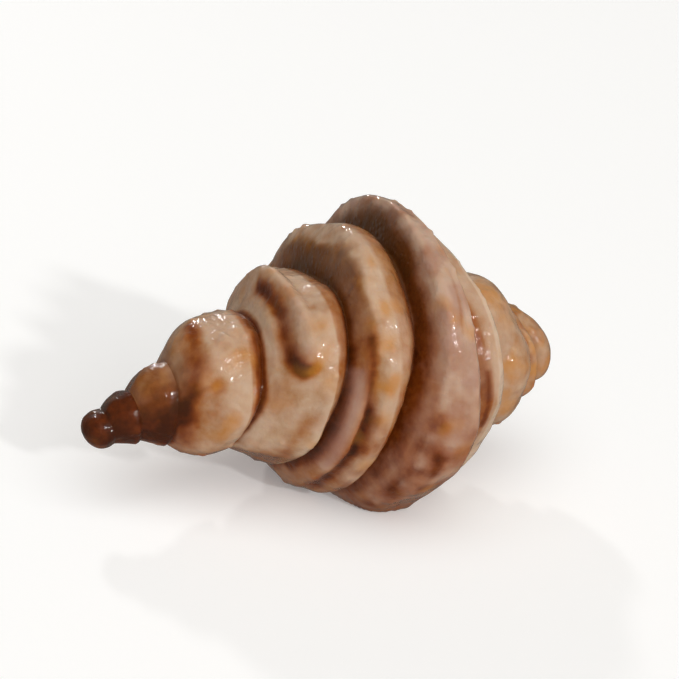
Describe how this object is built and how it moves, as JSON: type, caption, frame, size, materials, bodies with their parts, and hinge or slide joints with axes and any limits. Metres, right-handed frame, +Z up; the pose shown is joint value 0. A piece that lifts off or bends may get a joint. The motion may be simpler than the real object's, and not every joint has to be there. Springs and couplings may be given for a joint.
{
  "type": "glazed croissant",
  "caption": "Rolled pastry spindle with stepped, layered rings, widest at the belly, tapering to two blunt arms, browned in the creases under a clear sugar glaze.",
  "frame": {"origin": "middle of the underside of the object's box, on the surface that it rests on", "axes": "+X along the body from the long arm to the short one, -Y towards the side with the loose folds, +Z up"},
  "size_m": [0.1198, 0.072, 0.0672],
  "materials": {
    "glazed_crust": null
  },
  "bodies": {
    "root": {"croissant": "glazed_crust"}
  },
  "joints": []
}
